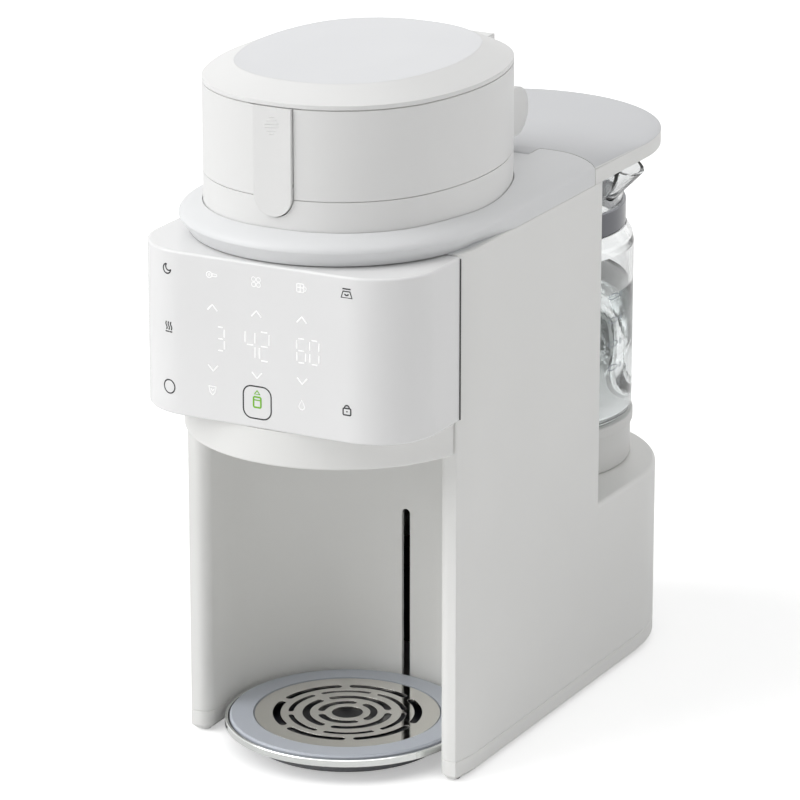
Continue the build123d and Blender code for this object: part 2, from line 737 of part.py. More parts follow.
hub_top = 349.0
with BuildPart() as dosing_wheel:
    disc(wheel_r, (wheel_low, band_top - gap), wheel_y)
    with BuildSketch(level(socket_z, wheel_y)):
        with PolarLocations(pocket_ring, 6, start_angle=90):
            Circle(pocket_r)
    extrude(amount=body_top - socket_z, mode=Mode.SUBTRACT)
    disc(hub_r, (band_top - 1, hub_top), wheel_y)
    with BuildSketch(level(socket_z, wheel_y)):
        RegularPolygon(radius=hex_r + 0.4, side_count=6, major_radius=False)
    extrude(amount=8, mode=Mode.SUBTRACT)
dosing_wheel.part.label = "dosing_wheel"
export_step(dosing_wheel.part, "parts/dosing_wheel.step")

blade_low = band_top + liner + 0.3
blade_half = 42.0
with BuildPart() as agitator:
    disc(8.0, (blade_low, 358), wheel_y)
    block((-blade_half, blade_half), (wheel_y - liner, wheel_y + liner), (blade_low + 0.3, 351))
    disc(hub_r, (band_top, hub_top), wheel_y, mode=Mode.SUBTRACT)
agitator.part.label = "agitator"
export_step(agitator.part, "parts/agitator.step")


# ---------------------------------------------------------------- dosing drive
def tooth(teeth):
    """One gear tooth along +X: involute flanks, thinned a little for backlash."""
    pitch_r = module * teeth / 2
    base_r = pitch_r * cos(pressure_angle)
    half_angle = pi / (2 * teeth) - backlash / 2 / pitch_r

    def flank(radius, side):
        spread = half_angle + tan(pressure_angle) - pressure_angle
        if radius > base_r:
            pressure = acos(base_r / radius)
            spread -= tan(pressure) - pressure
        return radius * cos(spread), side * radius * sin(spread)

    radii = (base_r - 1.3 * module, pitch_r, pitch_r + module)
    with BuildSketch() as outline:
        with BuildLine():
            right = ThreePointArc(*[flank(radius, -1) for radius in radii])
            left = ThreePointArc(*[flank(radius, 1) for radius in radii])
            Line(right @ 0, left @ 0)
            Line(right @ 1, left @ 1)
        make_face()
    return outline.sketch


def gear(teeth, y, turn=0.0):
    """Adds a spur gear on an upright axis at y, its first tooth turned from +X."""
    with BuildSketch(level(gear_z, y)) as outline:
        Circle(module * (teeth / 2 - 1.25))
        with PolarLocations(0, teeth, start_angle=turn):
            add(tooth(teeth))
    extrude(outline.sketch, amount=gear_h)


collar_top = socket_z - gap
with BuildPart() as drive_gear:
    gear(gear_teeth, wheel_y)
    disc(hub_r, (shelf_z, gear_z), wheel_y)
    disc(7.0, (gear_z + gear_h, collar_top), wheel_y)
    with BuildSketch(level(collar_top, wheel_y)):
        RegularPolygon(radius=hex_r, side_count=6, major_radius=False)
    extrude(amount=6.5)
drive_gear.part.label = "drive_gear"
export_step(drive_gear.part, "parts/drive_gear.step")

with BuildPart() as motor_pinion:
    gear(pinion_teeth, pinion_y, turn=180 / pinion_teeth)
    disc(spindle_r, (spindle_low, gear_z + gear_h + 2), pinion_y)
motor_pinion.part.label = "motor_pinion"
export_step(motor_pinion.part, "parts/motor_pinion.step")

with BuildPart() as gear_shelf:
    block((wall - end_r, end_r - wall), (-100, 30), (shelf_z, shelf_z + wall))
    disc(outlet_r, (shelf_z, deck_z), tray_y, mode=Mode.SUBTRACT)
    disc(hub_r + run, (shelf_z, deck_z), wheel_y, mode=Mode.SUBTRACT)
    disc(5.0, (shelf_z, deck_z), pinion_y, mode=Mode.SUBTRACT)
gear_shelf.part.label = "gear_shelf"
export_step(gear_shelf.part, "parts/gear_shelf.step")

with BuildPart() as dosing_motor:
    disc(motor_r, (motor_low, shelf_z), pinion_y)
    disc(spindle_r + run, (spindle_low - 1, shelf_z), pinion_y, mode=Mode.SUBTRACT)
dosing_motor.part.label = "dosing_motor"
export_step(dosing_motor.part, "parts/dosing_motor.step")

# ---------------------------------------------------------------- drip tray
carriage_z = (0.4, 5.0)
arm_half_w = 2.0
sleeve_z = (10.0, 26.0)
with BuildPart() as tray_carriage:
    disc(carriage_r, carriage_z, tray_y)
    chamfer(tray_carriage.edges().sort_by(Axis.Z)[0], 0.8)
    # Arm through the slot, and its sleeve on the guide rod.
    block((-arm_half_w, arm_half_w), (tray_y + 50, rod_y), (2.0, carriage_z[1]))
    block((-arm_half_w, arm_half_w), (-20, rod_y), (3.8, 8.0))
    disc(rod_r + 3.5, sleeve_z, rod_y)
    block((-arm_half_w, arm_half_w), (-14, rod_y), (3.8, sleeve_z[1]))
    block((-9, 9), (rod_y - 9, rod_y + 9), (0, sleeve_z[0]), Mode.SUBTRACT)
    disc(rod_r + run, (0, sleeve_z[1]), rod_y, mode=Mode.SUBTRACT)
tray_carriage.part.label = "tray_carriage"
export_step(tray_carriage.part, "parts/tray_carriage.step")

ledge_r = 62.0              # the ring rests on the dish from here outwards
ledge_z = 12.4
lip_in = tray_r - 1.7
lip_z = (9.4, 13.5)
with BuildPart() as drip_dish:
    turned([(0, carriage_z[1]), (carriage_r, carriage_z[1]), (lip_in, lip_z[0]), (lip_in, ledge_z),
            (ledge_r, ledge_z), (54, 6.8), (0, 6.8)], tray_y)
drip_dish.part.label = "drip_dish"
export_step(drip_dish.part, "parts/drip_dish.step")

with BuildPart() as dish_lip:
    turned([(lip_in, lip_z[0]), (tray_r, lip_z[0]), (tray_r, lip_z[1] - 0.5), (tray_r - 0.5, lip_z[1]),
            (lip_in, lip_z[1])], tray_y)
dish_lip.part.label = "dish_lip"
export_step(dish_lip.part, "parts/dish_lip.step")

ring_r = 68.3
ring_top = 15.2
grill_z = (13.4, 14.8)
grill_r = 53.8
shelf_r = 50.5              # inner edge of the ledge that carries the grill
with BuildPart() as dish_ring:
    turned([(ledge_r, ledge_z), (ring_r, ledge_z), (ring_r, 14.1), (67.3, ring_top),
            (grill_r + 0.8, ring_top), (grill_r + 0.8, grill_z[0]), (shelf_r, grill_z[0]),
            (shelf_r, 12.0), (ledge_r - 1, 12.0)], tray_y)
dish_ring.part.label = "dish_ring"
export_step(dish_ring.part, "parts/dish_ring.step")

# Slot rings of the grill: inner radius, outer radius, number of slots, turn in degrees.
slot_rings = [(13.3, 17.5, 3, 30), (21.8, 26.1, 3, 90), (31.4, 34.4, 6, 0), (38.9, 43.4, 6, 30)]
centre_r = 9.0
web = 4.5
with BuildPart() as grill:
    with BuildSketch(level(grill_z[0], tray_y)):
        Circle(grill_r)
        Circle(centre_r, mode=Mode.SUBTRACT)
        for inner, outer, count, turn in slot_rings:
            middle_r = (inner + outer) / 2
            span = 360 / count - degrees((web + outer - inner) / middle_r)
            for index in range(count):
                start = turn + 360 * index / count - span / 2
                with BuildLine():
                    path = CenterArc((0, 0), middle_r, start, arc_size=span)
                SlotArc(path, height=outer - inner, mode=Mode.SUBTRACT)
    extrude(amount=grill_z[1] - grill_z[0])
grill.part.label = "grill"
export_step(grill.part, "parts/grill.step")

# ---------------------------------------------------------------- glass kettle
socket_h = 135.5
stand_in = 113.2
base_r = 69.9
with BuildPart() as kettle_base:
    turned([(0, stand_in), (60, stand_in), (61, platform_z), (68.5, platform_z), (base_r, 113.4),
            (base_r, socket_h), (0, socket_h)], kettle_y)
kettle_base.part.label = "kettle_base"
export_step(kettle_base.part, "parts/kettle_base.step")

ring_out = 71.3
with BuildPart() as kettle_ring:
    turned([(0, socket_h), (ring_out, socket_h), (ring_out, 140.6), (ring_out - 0.7, glass_z),
            (0, glass_z)], kettle_y)
kettle_ring.part.label = "kettle_ring"
export_step(kettle_ring.part, "parts/kettle_ring.step")

with BuildPart() as kettle_glass:
    turned([(0, glass_z), (glass_r - 3, glass_z), (glass_r, glass_z + 3), (glass_r, 247),
            (69.4, 252.5), (66, collar_z[0]), (neck_r, collar_z[0]), (neck_r, kettle_top),
            (0, kettle_top)], kettle_y)
    with BuildSketch(level(collar_z[1] + 1, kettle_y, 50)):
        Circle(10.0)
    with BuildSketch(level(kettle_top, kettle_y, beak_x)):
        Ellipse(15.0, 16.0)
    loft()
    turned([(0, 144), (66.5, 144), (glass_r - glass, 146), (glass_r - glass, 246),
            (neck_r - glass, 257), (neck_r - glass, kettle_top + 1), (0, kettle_top + 1)], kettle_y,
           mode=Mode.SUBTRACT)
    with BuildSketch(level(collar_z[1] + 4, kettle_y, 50)):
        Circle(7.6)
    with BuildSketch(level(kettle_top + 1, kettle_y, beak_x + 0.5)):
        Ellipse(13.2, 13.8)
    loft(mode=Mode.SUBTRACT)
    # The lip falls away towards the tip of the beak.
    with BuildSketch(facing(kettle_y - 40)):
        with BuildLine():
            Polyline((66, kettle_top + 2), (66, kettle_top - 0.5), (90, 292.5), (92, kettle_top + 2),
                     close=True)
        make_face()
    extrude(amount=-80, mode=Mode.SUBTRACT)
kettle_glass.part.label = "kettle_glass"
export_step(kettle_glass.part, "parts/kettle_glass.step")

with BuildPart() as kettle_collar:
    turned([(neck_r, collar_z[0]), (collar_r - groove, collar_z[0]), (collar_r, collar_z[0] + 0.8),
            (collar_r, collar_z[1] - 0.8), (collar_r - groove, collar_z[1]), (neck_r, collar_z[1])],
           kettle_y)
kettle_collar.part.label = "kettle_collar"
export_step(kettle_collar.part, "parts/kettle_collar.step")

handle_root = -60.0
with BuildPart() as kettle_handle:
    with BuildLine(facing(kettle_y)) as grip_line:
        FilletPolyline((handle_root, handle_z[1]), (handle_x, handle_z[1]), (handle_x, 205),
                       (handle_x + 6, handle_z[0]), radius=16)
    with BuildSketch(across(handle_root, kettle_y)):
        with Locations((0, handle_z[1])):
            RectangleRounded(22, 11, 4)
    sweep()
    disc(collar_r, (collar_z[0] - 10, collar_z[1] + 10), kettle_y, mode=Mode.SUBTRACT)
kettle_handle.part.label = "kettle_handle"
export_step(kettle_handle.part, "parts/kettle_handle.step")

mouth_r = 44.0              # open middle of the cap, closed from above by the rear lid
cap_top = 307.5
cap_r = 62.6
tube_r = 3.0
tube_y = kettle_y - 54
with BuildPart() as kettle_cap:
    turned([(mouth_r, 300), (neck_r - glass - seat, 300), (neck_r - glass - seat, kettle_top),
            (cap_r, kettle_top), (cap_r, cap_top - 1), (cap_r - 1, cap_top), (mouth_r + 2, cap_top),
            (mouth_r, cap_top - 2)], kettle_y)
    block((40, 90), (kettle_y - 12, kettle_y + 12), (290, 310), Mode.SUBTRACT)
kettle_cap.part.label = "kettle_cap"
export_step(kettle_cap.part, "parts/kettle_cap.step")

with BuildPart() as suction_tube:
    disc(tube_r, (152, 300), tube_y)
    disc(tube_r - 1.2, (152, 296), tube_y, mode=Mode.SUBTRACT)
suction_tube.part.label = "suction_tube"
export_step(suction_tube.part, "parts/suction_tube.step")
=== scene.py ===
# %% [markdown]
# # A baby formula maker
# The solids of this kitchen appliance come ready made: a housing with an open bottle bay, a powder
# canister on its deck, a drip tray that slides up and down, and a glass kettle behind the column.
# This script gives them their surfaces, the printed and lit marks of the touch panel, the water and
# the measuring marks of the kettle, a camera and a soft studio light. Every length is in metres.

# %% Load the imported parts
import math

import bmesh
import bpy
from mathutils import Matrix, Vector


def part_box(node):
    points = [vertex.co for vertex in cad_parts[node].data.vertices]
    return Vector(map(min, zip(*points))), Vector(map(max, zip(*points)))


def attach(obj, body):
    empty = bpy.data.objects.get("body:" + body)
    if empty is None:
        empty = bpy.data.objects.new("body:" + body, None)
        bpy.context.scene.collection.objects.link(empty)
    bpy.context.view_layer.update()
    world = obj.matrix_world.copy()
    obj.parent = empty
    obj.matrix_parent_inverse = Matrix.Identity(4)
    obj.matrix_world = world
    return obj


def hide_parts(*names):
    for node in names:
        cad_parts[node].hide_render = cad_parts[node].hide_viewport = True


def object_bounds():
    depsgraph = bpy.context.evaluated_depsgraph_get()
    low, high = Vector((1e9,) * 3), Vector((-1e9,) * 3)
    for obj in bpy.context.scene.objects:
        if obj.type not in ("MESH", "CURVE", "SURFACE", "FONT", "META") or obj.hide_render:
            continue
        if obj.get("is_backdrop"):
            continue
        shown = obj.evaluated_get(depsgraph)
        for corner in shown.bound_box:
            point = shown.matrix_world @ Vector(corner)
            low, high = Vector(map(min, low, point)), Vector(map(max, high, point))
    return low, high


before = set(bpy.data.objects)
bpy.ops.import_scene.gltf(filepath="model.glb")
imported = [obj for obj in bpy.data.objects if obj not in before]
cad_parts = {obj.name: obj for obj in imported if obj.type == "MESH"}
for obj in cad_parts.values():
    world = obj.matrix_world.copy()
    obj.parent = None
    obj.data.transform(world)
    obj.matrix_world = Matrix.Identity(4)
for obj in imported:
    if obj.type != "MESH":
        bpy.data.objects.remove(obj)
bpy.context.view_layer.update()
MM = 0.001

# %% [markdown]
# ## Places to measure from
# The housing's middle plane, the kettle's centre and the fronts of the panel and the lever are read
# from the boxes of the solids, so that the details follow if these move. Heights, and the drawings of
# the marks, are plain numbers in millimetres.

# %% Middle planes and centres


def middle(name):
    """Centre of a solid's box."""
    low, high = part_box(name)
    return (low + high) / 2


MID_X = middle("control_panel").x
KETTLE = middle("kettle_base")
PANEL_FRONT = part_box("control_panel")[0].y
LEVER_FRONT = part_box("latch_lever")[0].y
print("middle plane", round(MID_X, 4), "panel", round(PANEL_FRONT, 4), "lever", round(LEVER_FRONT, 4))

# %% [markdown]
# ## Camera
# A long lens from the front right, a little above the deck, keeps the long sides nearly parallel.

# %% Camera
scene = bpy.context.scene
CAMERA_AT = Vector((1.2298, -2.3298, 1.0302))
CAMERA_TARGET = Vector((0.00108, -0.02192, 0.18415))
LENS_MM = 211.83
SENSOR_MM = 36.0

camera_data = bpy.data.cameras.new("camera")
camera_data.lens = LENS_MM
camera_data.sensor_width = SENSOR_MM
camera = bpy.data.objects.new("camera", camera_data)
camera.location = CAMERA_AT
camera.rotation_euler = (CAMERA_TARGET - CAMERA_AT).to_track_quat("-Z", "Y").to_euler()
scene.collection.objects.link(camera)
scene.camera = camera
scene.view_settings.view_transform = "Standard"
print("camera distance", round((CAMERA_TARGET - CAMERA_AT).length, 3))

# %% [markdown]
# ## Light
# White goods need light that models the form: a broad key from the front left, a weaker one from
# above and a faint one from the rear right, so that each face has a tone of its own. The lamps
# are so far away that they light the floor evenly. A lamp's level is the brightness that it alone
# gives to a white card facing it, so the levels compare directly: the lamps have 0.92 together, and
# the white surround adds a level of its own from all sides.

# %% Lamps


def broad_lamp(name, azimuth, elevation, level, softness):
    """A far lamp: azimuth 0 is the front and grows to the right, softness is its angle in the sky."""
    turn, rise = math.radians(azimuth), math.radians(elevation)
    towards = Vector((math.sin(turn) * math.cos(rise), -math.cos(turn) * math.cos(rise), math.sin(rise)))
    lamp = bpy.data.lights.new(name, "SUN")
    lamp.energy = level * math.pi
    lamp.angle = math.radians(softness)
    lamp_object = bpy.data.objects.new(name, lamp)
    lamp_object.location = 3 * towards
    lamp_object.rotation_euler = (-towards).to_track_quat("-Z", "Y").to_euler()
    scene.collection.objects.link(lamp_object)


broad_lamp("key_front_left", -48, 34, 0.56, 50)
broad_lamp("overhead", 20, 84, 0.25, 60)
broad_lamp("fill_rear_right", 130, 15, 0.11, 60)

# %% White surround
AMBIENT = 0.34
world = bpy.data.worlds.new("studio")
scene.world = world
world.use_nodes = True
surround = world.node_tree
background = surround.nodes["Background"]
background.inputs["Color"].default_value = (1.0, 1.0, 1.0, 1.0)
rays = surround.nodes.new("ShaderNodeLightPath")
seen = rays.outputs["Is Camera Ray"]
for kind in ("Is Glossy Ray", "Is Transmission Ray"):
    both = surround.nodes.new("ShaderNodeMath")
    both.operation = "MAXIMUM"
    surround.links.new(seen, both.inputs[0])
    surround.links.new(rays.outputs[kind], both.inputs[1])
    seen = both.outputs[0]
level = surround.nodes.new("ShaderNodeMapRange")
level.inputs["To Min"].default_value = AMBIENT
level.inputs["To Max"].default_value = 1.0
surround.links.new(seen, level.inputs["Value"])
surround.links.new(level.outputs["Result"], background.inputs["Strength"])
print("surround lights at", AMBIENT, "and shows as white")

# %% [markdown]
# ## Finishes
# Each finish starts from a real material. Colours are written as sRGB hex, as a colour picker shows
# them, and turned to linear light by one function. Another small function adds a node with its
# settings and links, so that each material reads as a short list.

# %% Helpers for materials


def linear(hex_colour):
    """Linear colour of an sRGB hex colour, fully opaque."""
    parts = [int(hex_colour[i:i + 2], 16) / 255 for i in (0, 2, 4)]
    rgb = [p / 12.92 if p <= 0.04045 else ((p + 0.055) / 1.055) ** 2.4 for p in parts]
    return (*rgb, 1.0)


def put(tree, kind, links=None, **settings):
    """Adds a node: attributes and input values from settings, incoming links from a dictionary."""
    made = tree.nodes.new(kind)
    for key, value in settings.items():
        if hasattr(made, key):
            setattr(made, key, value)
        else:
            made.inputs[key.replace("_", " ")].default_value = value
    for socket, source in (links or {}).items():
        tree.links.new(source, made.inputs[socket])
    return made


def finish_named(name, colour, roughness, metallic=0.0):
    """A new material, its shader with the plain values set, its tree and object coordinates."""
    material = bpy.data.materials.new(name)
    material.use_nodes = True
    tree = material.node_tree
    shader = tree.nodes["Principled BSDF"]
    shader.inputs["Base Color"].default_value = linear(colour)
    shader.inputs["Roughness"].default_value = roughness
    shader.inputs["Metallic"].default_value = metallic
    coords = put(tree, "ShaderNodeTexCoord").outputs["Object"]
    return material, shader, tree, coords


print("material helpers ready")

# %% [markdown]
# ## White plastics
# The housing is ABS moulded against a finely textured tool: satin, a little warm. The touch panel is
# the same resin against a polished tool. The canister is food-grade polypropylene, a shade greyer and
# more waxy. Each has close tones that drift in broad patches, the fine pits of a spark-eroded mould,
# and edges that catch the light because no moulded edge is ever perfectly sharp.

# %% Moulded plastics
RAMP_ENDS = (0.3, 0.7)
BEVEL_SAMPLES = 6
GRAIN_STRENGTH = 0.4


def drifting(shader, tree, coords, first, second, patch_mm):
    """Lets a surface drift between two close tones in broad patches."""
    noise = put(tree, "ShaderNodeTexNoise", {"Vector": coords}, Scale=1 / (patch_mm * MM), Detail=2.0)
    ramp = put(tree, "ShaderNodeValToRGB", {"Fac": noise.outputs["Fac"]})
    for element, colour, place in zip(ramp.color_ramp.elements, (first, second), RAMP_ENDS):
        element.color = linear(colour)
        element.position = place
    tree.links.new(ramp.outputs["Color"], shader.inputs["Base Color"])


def grained(shader, tree, coords, grain_mm, depth_mm, edge_mm):
    """Rounds the shading of edges and adds the fine pits of a mould."""
    soft_edge = put(tree, "ShaderNodeBevel", samples=BEVEL_SAMPLES, Radius=edge_mm * MM)
    pits = put(tree, "ShaderNodeTexNoise", {"Vector": coords}, Scale=1 / (grain_mm * MM), Detail=3.0)
    bump = put(tree, "ShaderNodeBump", {"Height": pits.outputs["Fac"], "Normal": soft_edge.outputs[0]},
               Strength=GRAIN_STRENGTH, Distance=depth_mm * MM)
    tree.links.new(bump.outputs["Normal"], shader.inputs["Normal"])


def moulded(name, first, second, roughness, grain_mm=0.7, depth_mm=0.02, patch_mm=70, edge_mm=0.5):
    """A moulded plastic: close tones in patches, a fine grain and soft edges."""
    material, shader, tree, coords = finish_named(name, first, roughness)
    drifting(shader, tree, coords, first, second, patch_mm)
    grained(shader, tree, coords, grain_mm, depth_mm, edge_mm)
    return material


satin_white = moulded("satin_white_abs", "EBEBE9", "EDEDEB", 0.42)
gloss_white = moulded("polished_white_abs", "EEEEEE", "ECECEC", 0.22, grain_mm=3.0, depth_mm=0.004)
waxy_white = moulded("white_polypropylene", "E9E9E8", "EBEBEA", 0.36)
plate_white = moulded("smooth_white_polypropylene", "E3E4E6", "E1E2E4", 0.3)
# The front deck is the housing's ABS; its greyer copy of that white is painted shade for the deck's top.
painted_shade_deck_white = moulded("painted_shade_deck_abs", "E2E3E4", "E4E5E6", 0.42)
# Painted shade: a greyer copy of the housing's white for the rear lid's upward-facing crown, so its top
# reads darker than its rim.
painted_shade_crown_white = moulded("painted_shade_grey_crown_abs", "CDCED0", "D0D1D3", 0.5)
pale_grey = moulded("pale_grey_abs", "DADAD8", "DEDEDC", 0.45)
ring_grey = moulded("blue_grey_silicone", "B5BAC3", "B9BEC6", 0.38)
carriage_grey = moulded("mid_grey_abs", "77787B", "7C7D80", 0.45)
# The dish's blue-black is painted shade: it stands for the shade deep in the dish, seen through the grill's
# slots.
painted_shade_dish_black = moulded("painted_shade_blue_black", "26282E", "2B2D33", 0.3)
dark_plastic = moulded("charcoal_abs", "2B2B2C", "303031", 0.5)
acetal = moulded("natural_acetal", "E4E2D8", "E9E7DE", 0.4)
black_grip = moulded("black_nylon", "1B1B1C", "202021", 0.5)
soft_seal = moulded("translucent_silicone", "CFCFCC", "D6D6D3", 0.55)
foot_rubber = moulded("grey_rubber_pad", "5A5A5A", "626262", 0.8)
solder_mask = moulded("green_solder_mask", "0F5A2F", "12663A", 0.3, grain_mm=2.0)
print("plastics:", len(bpy.data.materials))

# %% [markdown]
# ## Metals, glass and water
# The grill is stamped stainless steel polished to a mirror, and the lip of the dish round it is
# chromed. The kettle's collar is dark chrome. Its body is clear borosilicate glass with a faint
# ripple, and the water in it reaches a little way up the wall where it wets the glass.

# %% Metals and glass
RIPPLE_STRENGTH = 0.3


def polished(name, colour, roughness, scratch_mm, spread, edge_mm=0.3):
    """A bright metal whose roughness varies with fine rubbing marks."""
    material, shader, tree, coords = finish_named(name, colour, roughness, metallic=1.0)
    marks = put(tree, "ShaderNodeTexNoise", {"Vector": coords}, Scale=1 / (scratch_mm * MM), Detail=4.0)
    amount = put(tree, "ShaderNodeMapRange", {"Value": marks.outputs["Fac"]}, To_Min=roughness,
                 To_Max=roughness + spread)
    tree.links.new(amount.outputs["Result"], shader.inputs["Roughness"])
    soft_edge = put(tree, "ShaderNodeBevel", samples=BEVEL_SAMPLES, Radius=edge_mm * MM)
    tree.links.new(soft_edge.outputs[0], shader.inputs["Normal"])
    return material


def clear(name, tint, ior, ripple_mm, depth_mm):
    """A clear material with a slow ripple: it bends what is seen and lets the lamps' light through."""
    material, shader, tree, coords = finish_named(name, tint, 0.0)
    shader.inputs["Transmission Weight"].default_value = 1.0
    shader.inputs["IOR"].default_value = ior
    ripple = put(tree, "ShaderNodeTexNoise", {"Vector": coords}, Scale=1 / (ripple_mm * MM), Detail=1.0)
    bump = put(tree, "ShaderNodeBump", {"Height": ripple.outputs["Fac"]}, Strength=RIPPLE_STRENGTH,
               Distance=depth_mm * MM)
    tree.links.new(bump.outputs["Normal"], shader.inputs["Normal"])
    ray = put(tree, "ShaderNodeLightPath").outputs
    lighting = put(tree, "ShaderNodeMath", {0: ray["Is Shadow Ray"], 1: ray["Is Diffuse Ray"]},
                   operation="MAXIMUM")
    passed = put(tree, "ShaderNodeBsdfTransparent", Color=linear(tint))
    either = put(tree, "ShaderNodeMixShader", {0: lighting.outputs[0], 1: shader.outputs[0],
                                               2: passed.outputs[0]})
    tree.links.new(either.outputs[0], tree.nodes["Material Output"].inputs["Surface"])
    return material


bright_steel = polished("mirror_stainless_steel", "E4E2DC", 0.04, 4.0, 0.05, edge_mm=0.25)
chrome = polished("bright_chrome", "E4E6E4", 0.08, 8.0, 0.06)
dark_chrome = polished("dark_chrome", "727377", 0.12, 8.0, 0.08)
ground_rod = polished("ground_steel_rod", "B4B4B2", 0.25, 2.0, 0.1)
zinc = polished("zinc_plated_can", "A9ABAA", 0.35, 3.0, 0.15)
borosilicate = clear("borosilicate_glass", "FDFEFE", 1.474, 35, 0.012)
still_water = clear("still_water", "FCFEFE", 1.333, 60, 0.004)
print("materials:", len(bpy.data.materials))

# %% Dress the solids
FINISHES = {
    satin_white: ["left_side_shell", "right_side_shell", "column_back", "bay_liner", "dispenser_head",
                  "rear_lid", "base_pan", "left_bay_skirt", "right_bay_skirt"],
    # The deck's greyer white is painted shade.
    painted_shade_deck_white: ["front_deck"],
    gloss_white: ["control_panel"],
    waxy_white: ["canister_band", "canister_body", "canister_lid", "latch_lever"],
    plate_white: ["lid_plate"],
    pale_grey: ["rear_lid_liner", "lid_liner", "kettle_base", "hopper_floor", "powder_chute",
                "kettle_cap", "kettle_ring"],
    soft_seal: ["canister_gasket", "cord_gland"],
    foot_rubber: ["rubber_feet"],
    ground_rod: ["tray_guide_rod", "rear_lid_pin", "canister_hinge_pin", "latch_pin", "water_nozzle",
                 "suction_tube"],
    carriage_grey: ["tray_carriage"],
    # The dish's dark colour is painted shade under the grill.
    painted_shade_dish_black: ["drip_dish"],
    dark_plastic: ["water_pump", "gear_shelf"],
    solder_mask: ["display_board", "main_board"],
    zinc: ["dosing_motor"],
    acetal: ["drive_gear", "motor_pinion", "dosing_wheel", "agitator"],
    chrome: ["dish_lip"],
    ring_grey: ["dish_ring"],
    bright_steel: ["grill"],
    borosilicate: ["kettle_glass"],
    dark_chrome: ["kettle_collar"],
    black_grip: ["kettle_handle"],
}
for material, names in FINISHES.items():
    for name in names:
        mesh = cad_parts[name].data
        mesh.materials.clear()
        mesh.materials.append(material)
dressed = {name for names in FINISHES.values() for name in names}
print("dressed:", len(dressed), "left:", sorted(set(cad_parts) - dressed))

# %% [markdown]
# ## The rear lid's crown
# The crown of the deck sinks towards the rear, until the lid is nearly level with its own rim. The
# solid keeps its full height, so the lid shown here is the same mesh with the crown lowered: nothing
# changes at the seam, and all that stands above the rim shrinks evenly from there to the round end.

# %% A lid whose crown sinks
LID_RIM = 320.9 * MM      # height of the rim
SINK_FROM = 36.5 * MM     # the crown sinks between these two places along the lid
SINK_TO = 106.0 * MM
TAIL_SHARE = 2 / 9        # what is left of the crown's height at the round end
WELD = 0.001 * MM

lid_shape = bmesh.new()
lid_shape.from_mesh(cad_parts["rear_lid"].data)
bmesh.ops.remove_doubles(lid_shape, verts=lid_shape.verts, dist=WELD)
for y in (SINK_FROM, SINK_TO):
    everything = lid_shape.verts[:] + lid_shape.edges[:] + lid_shape.faces[:]
    bmesh.ops.bisect_plane(lid_shape, geom=everything, plane_co=(0, y, 0), plane_no=(0, 1, 0))
for vertex in lid_shape.verts:
    above = max(0.0, vertex.co.z - LID_RIM)
    sunk = min(max((vertex.co.y - SINK_FROM) / (SINK_TO - SINK_FROM), 0.0), 1.0)
    vertex.co.z -= above * (1 - TAIL_SHARE) * sunk
lid_mesh = bpy.data.meshes.new("sunk_rear_lid")
lid_shape.to_mesh(lid_mesh)
lid_shape.free()
print("lid faces:", len(lid_mesh.polygons))

# %% Shading of the lid: a sharp rim, and a wall that is smooth all round
NEAR_RIM = 0.02 * MM
HALF_WIDTH = 90.0 * MM
SHARP_ANGLE = math.radians(25)
UPRIGHT_TILT = 0.1
FACES_OUT = 0.9

lid_mesh.shade_smooth()
lid_mesh.set_sharp_from_angle(angle=SHARP_ANGLE)
for edge in lid_mesh.edges:
    if all(abs(lid_mesh.vertices[i].co.z - LID_RIM) < NEAR_RIM for i in edge.vertices):
        edge.use_edge_sharp = True
normals = [corner.vector.copy() for corner in lid_mesh.corner_normals]
for face in lid_mesh.polygons:
    for corner in face.loop_indices:
        place = lid_mesh.vertices[lid_mesh.loops[corner].vertex_index].co
        outward = Vector((place.x - MID_X, max(0.0, place.y - SINK_TO), 0.0))
        facing_out = face.normal.dot(outward) > FACES_OUT * outward.length
        upright = abs(face.normal.z) < UPRIGHT_TILT
        if upright and facing_out and outward.length > HALF_WIDTH - NEAR_RIM:
            normals[corner] = outward.normalized()
lid_mesh.normals_split_custom_set(normals)
print("sharp edges:", sum(edge.use_edge_sharp for edge in lid_mesh.edges))

# %% The lid in place: painted shade greys the crown's upward faces, the rim keeps the housing's white
CROWN_TILT = 0.5

# Upward faces above the rim take the greyer copy: painted shade on the crown's top; the rest keeps the
# housing's white.
for finish in (satin_white, painted_shade_crown_white):
    lid_mesh.materials.append(finish)
for face in lid_mesh.polygons:
    face.material_index = int(face.normal.z > CROWN_TILT and face.center.z > LID_RIM)
sunk_lid = bpy.data.objects.new("sunk_rear_lid", lid_mesh)
scene.collection.objects.link(sunk_lid)
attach(sunk_lid, "rear_lid")
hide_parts("rear_lid")
print("crown faces:", sum(face.material_index for face in lid_mesh.polygons))

# %% [markdown]
# ## Drawing marks
# Printed and lit marks are drawn as strokes: lists of points in millimetres, each with a width. They
# become thin rounded beads that lie on a surface. The surface is given by a function that takes a
# point of the flat drawing, right and up, and its small height off the sheet, and returns its place.

# %% Strokes
FLATTEN = 0.12    # a bead's height as a share of its round section's


def arc(centre, radius, start, end, steps=20, squeeze=1.0):
    """Points along a circle or, if squeezed, an ellipse, between two angles in degrees."""
    angles = [math.radians(start + (end - start) * i / steps) for i in range(steps + 1)]
    return [(centre[0] + radius * math.cos(a), centre[1] + squeeze * radius * math.sin(a)) for a in angles]


def circle(centre, radius, squeeze=1.0):
    """A closed ring of points."""
    return arc(centre, radius, 0, 345, 23, squeeze)


def rounded(centre, half_width, half_height, radius):
    """A closed rectangle with rounded corners."""
    points = []
    for right, up, start in ((1, 1, 0), (-1, 1, 90), (-1, -1, 180), (1, -1, 270)):
        corner = (centre[0] + right * (half_width - radius), centre[1] + up * (half_height - radius))
        points += arc(corner, radius, start, start + 90, 6)
    return points


